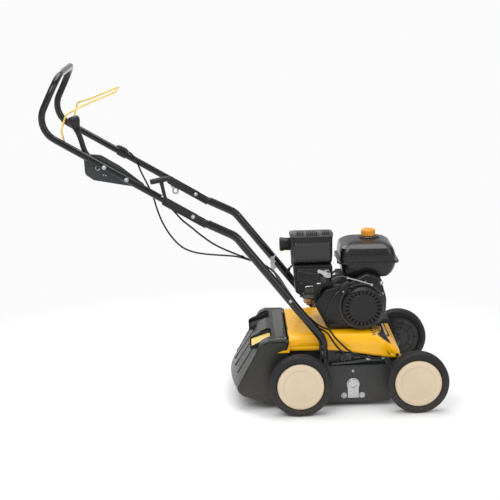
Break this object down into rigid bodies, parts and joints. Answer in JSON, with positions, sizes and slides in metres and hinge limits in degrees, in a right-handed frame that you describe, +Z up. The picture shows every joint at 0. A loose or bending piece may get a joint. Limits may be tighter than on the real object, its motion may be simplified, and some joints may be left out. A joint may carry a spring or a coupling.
{
  "type": "lawn dethatcher",
  "caption": "Petrol lawn dethatcher: steel rotor housing on rubber-tyred wheels, recoil-start engine on a yellow hood, rear collector and folding tubular handle.",
  "frame": {"origin": "on the ground, below the middle of the machine's bounding box", "axes": "+X forward (direction of travel), +Y to the operator's left, +Z up"},
  "size_m": [1.2786, 0.611, 1.1171],
  "materials": {
    "gloss_black_tube": "gloss powder coat",
    "chassis_paint": "satin powder coat",
    "yellow_cover": "gloss moulded",
    "collector_plastic": "semi-gloss moulded",
    "panel_yellow": "satin",
    "zinc_steel": "zinc plated",
    "rotor_steel": "hardened, oil blacked",
    "engine_casting": "black painted casting",
    "head_casting": "bare casting",
    "engine_sheet": "satin black",
    "engine_plastic": "satin moulded",
    "tank_plastic": "satin moulded",
    "filter_lid_grey": "textured moulded",
    "brass_bowl": "yellow zinc",
    "muffler_steel": "heat-resistant paint",
    "rubber_black": "matt",
    "belt_rubber": "matt",
    "cable_sheath": "satin sheath",
    "bail_yellow": "gloss coated wire",
    "control_plastic": "satin moulded",
    "cap_orange": "gloss moulded",
    "starter_cord": "braided",
    "tyre": "matt",
    "rim_plastic": "satin moulded",
    "cap_cream": "satin moulded"
  },
  "bodies": {
    "chassis": {"chassis_deck": "chassis_paint", "hood_cover": "yellow_cover", "rear_axle": "zinc_steel", "bearing_flanges": "zinc_steel", "fasteners": "zinc_steel", "belt_guard": "chassis_paint", "drive_belt": "belt_rubber", "crankcase": "engine_casting", "cylinder_head": "head_casting", "blower_shroud": "engine_sheet", "recoil_cover": "engine_plastic", "fuel_tank": "tank_plastic", "air_filter_base": "engine_plastic", "air_filter_lid": "filter_lid_grey", "carb_cover": "engine_plastic", "carburettor": "head_casting", "carb_bowl": "brass_bowl", "muffler": "muffler_steel", "muffler_guard": "engine_sheet", "spark_plug_boot": "rubber_black", "control_bracket": "zinc_steel", "lower_handle_left": "gloss_black_tube", "lower_handle_right": "gloss_black_tube", "fold_brackets": "gloss_black_tube", "cable_clips": "zinc_steel", "clutch_cable": "cable_sheath", "depth_cable": "cable_sheath"},
    "front_axle_crank": {"front_axle": "chassis_paint"},
    "rotor": {"rotor_shaft": "zinc_steel", "rotor_blades": "rotor_steel", "rotor_pulley": "zinc_steel"},
    "crankshaft": {"engine_pulley": "zinc_steel"},
    "belt_tensioner": {"idler_arm": "zinc_steel"},
    "idler": {"idler_pulley": "control_plastic"},
    "upper_handle": {"upper_handle_tube": "gloss_black_tube", "quadrant_plate": "control_plastic", "handle_fittings": "zinc_steel"},
    "depth_control": {"depth_lever": "control_plastic"},
    "bail": {"bail_wire": "bail_yellow"},
    "clamp_left": {"clamp_lever_left": "control_plastic"},
    "clamp_right": {"clamp_lever_right": "control_plastic"},
    "filler_cap": {"fuel_cap": "cap_orange"},
    "throttle": {"throttle_lever": "zinc_steel"},
    "starter": {"starter_grip": "control_plastic", "starter_rope": "starter_cord"},
    "catcher": {"catcher_box": "collector_plastic", "catcher_panel": "panel_yellow"},
    "wheel_front_left": {"tyre_front_left": "tyre", "rim_front_left": "rim_plastic", "cap_front_left": "cap_cream"},
    "wheel_front_right": {"tyre_front_right": "tyre", "rim_front_right": "rim_plastic", "cap_front_right": "cap_cream"},
    "wheel_rear_left": {"tyre_rear_left": "tyre", "rim_rear_left": "rim_plastic", "cap_rear_left": "cap_cream"},
    "wheel_rear_right": {"tyre_rear_right": "tyre", "rim_rear_right": "rim_plastic", "cap_rear_right": "cap_cream"}
  },
  "joints": [
    {"name": "handle_fold", "type": "hinge", "parent": "chassis", "child": "upper_handle", "pos_m": [-0.16569, 0, 0.651], "axis": [0, 1, 0], "range_deg": [0, 115], "deforming": ["clutch_cable", "depth_cable"]},
    {"name": "axle_swing", "type": "hinge", "parent": "chassis", "child": "front_axle_crank", "pos_m": [0.46431, 0, 0.128], "axis": [0, 1, 0], "range_deg": [0, 15]},
    {"name": "depth_lever_swing", "type": "hinge", "parent": "upper_handle", "child": "depth_control", "pos_m": [-0.46169, -0.196, 0.812], "axis": [0, 1, 0], "range_deg": [0, 50]},
    {"name": "rotor_spin", "type": "hinge", "parent": "chassis", "child": "rotor", "pos_m": [0.33731, 0, 0.075], "axis": [0, 1, 0], "continuous": true},
    {"name": "crank_spin", "type": "hinge", "parent": "chassis", "child": "crankshaft", "pos_m": [0.37431, 0, 0.325], "axis": [0, 1, 0], "continuous": true},
    {"name": "bail_swing", "type": "hinge", "parent": "upper_handle", "child": "bail", "pos_m": [-0.5617, 0, 0.88895], "axis": [0, 1, 0], "range_deg": [-38, 0], "stiffness_Nm_per_rad": 0.4, "springref_deg": 17.19},
    {"name": "tensioner_swing", "type": "hinge", "parent": "chassis", "child": "belt_tensioner", "pos_m": [0.42931, 0, 0.118], "axis": [0, 1, 0], "range_deg": [-6.65, 0]},
    {"name": "idler_spin", "type": "hinge", "parent": "belt_tensioner", "child": "idler", "pos_m": [0.42531, 0, 0.192], "axis": [0, 1, 0], "continuous": true},
    {"name": "clamp_left_turn", "type": "hinge", "parent": "chassis", "child": "clamp_left", "pos_m": [-0.24884, 0.232, 0.70096], "axis": [0, 1, 0], "range_deg": [-90, 90]},
    {"name": "clamp_right_turn", "type": "hinge", "parent": "chassis", "child": "clamp_right", "pos_m": [-0.24884, -0.232, 0.70096], "axis": [0, 1, 0], "range_deg": [-90, 90]},
    {"name": "fuel_cap_turn", "type": "hinge", "parent": "chassis", "child": "filler_cap", "pos_m": [0.40931, -0.01, 0.545], "axis": [0, 0, 1], "range_deg": [0, 90]},
    {"name": "throttle_swing", "type": "hinge", "parent": "chassis", "child": "throttle", "pos_m": [0.26431, -0.148, 0.43], "axis": [0, 1, 0], "range_deg": [0, 40]},
    {"name": "starter_pull", "type": "slide", "parent": "chassis", "child": "starter", "axis": [-0.6222, -0.3011, 0.7226], "range_m": [0, 0.5], "stiffness_N_per_m": 15, "springref_m": -0.4},
    {"name": "catcher_lift_off", "type": "slide", "parent": "chassis", "child": "catcher", "axis": [-1, 0, 0], "range_m": [0, 0.25]},
    {"name": "wheel_front_left_spin", "type": "hinge", "parent": "front_axle_crank", "child": "wheel_front_left", "pos_m": [0.53931, 0.277, 0.1], "axis": [0, 1, 0], "continuous": true},
    {"name": "wheel_front_right_spin", "type": "hinge", "parent": "front_axle_crank", "child": "wheel_front_right", "pos_m": [0.53931, -0.277, 0.1], "axis": [0, 1, 0], "continuous": true},
    {"name": "wheel_rear_left_spin", "type": "hinge", "parent": "chassis", "child": "wheel_rear_left", "pos_m": [0.16131, 0.277, 0.1], "axis": [0, 1, 0], "continuous": true},
    {"name": "wheel_rear_right_spin", "type": "hinge", "parent": "chassis", "child": "wheel_rear_right", "pos_m": [0.16131, -0.277, 0.1], "axis": [0, 1, 0], "continuous": true}
  ],
  "couplings": [
    {"joint": "depth_lever_swing", "follows": "axle_swing", "ratio": 3.3333},
    {"joint": "crank_spin", "follows": "rotor_spin", "ratio": 1.5},
    {"joint": "tensioner_swing", "follows": "bail_swing", "ratio": 0.175}
  ]
}
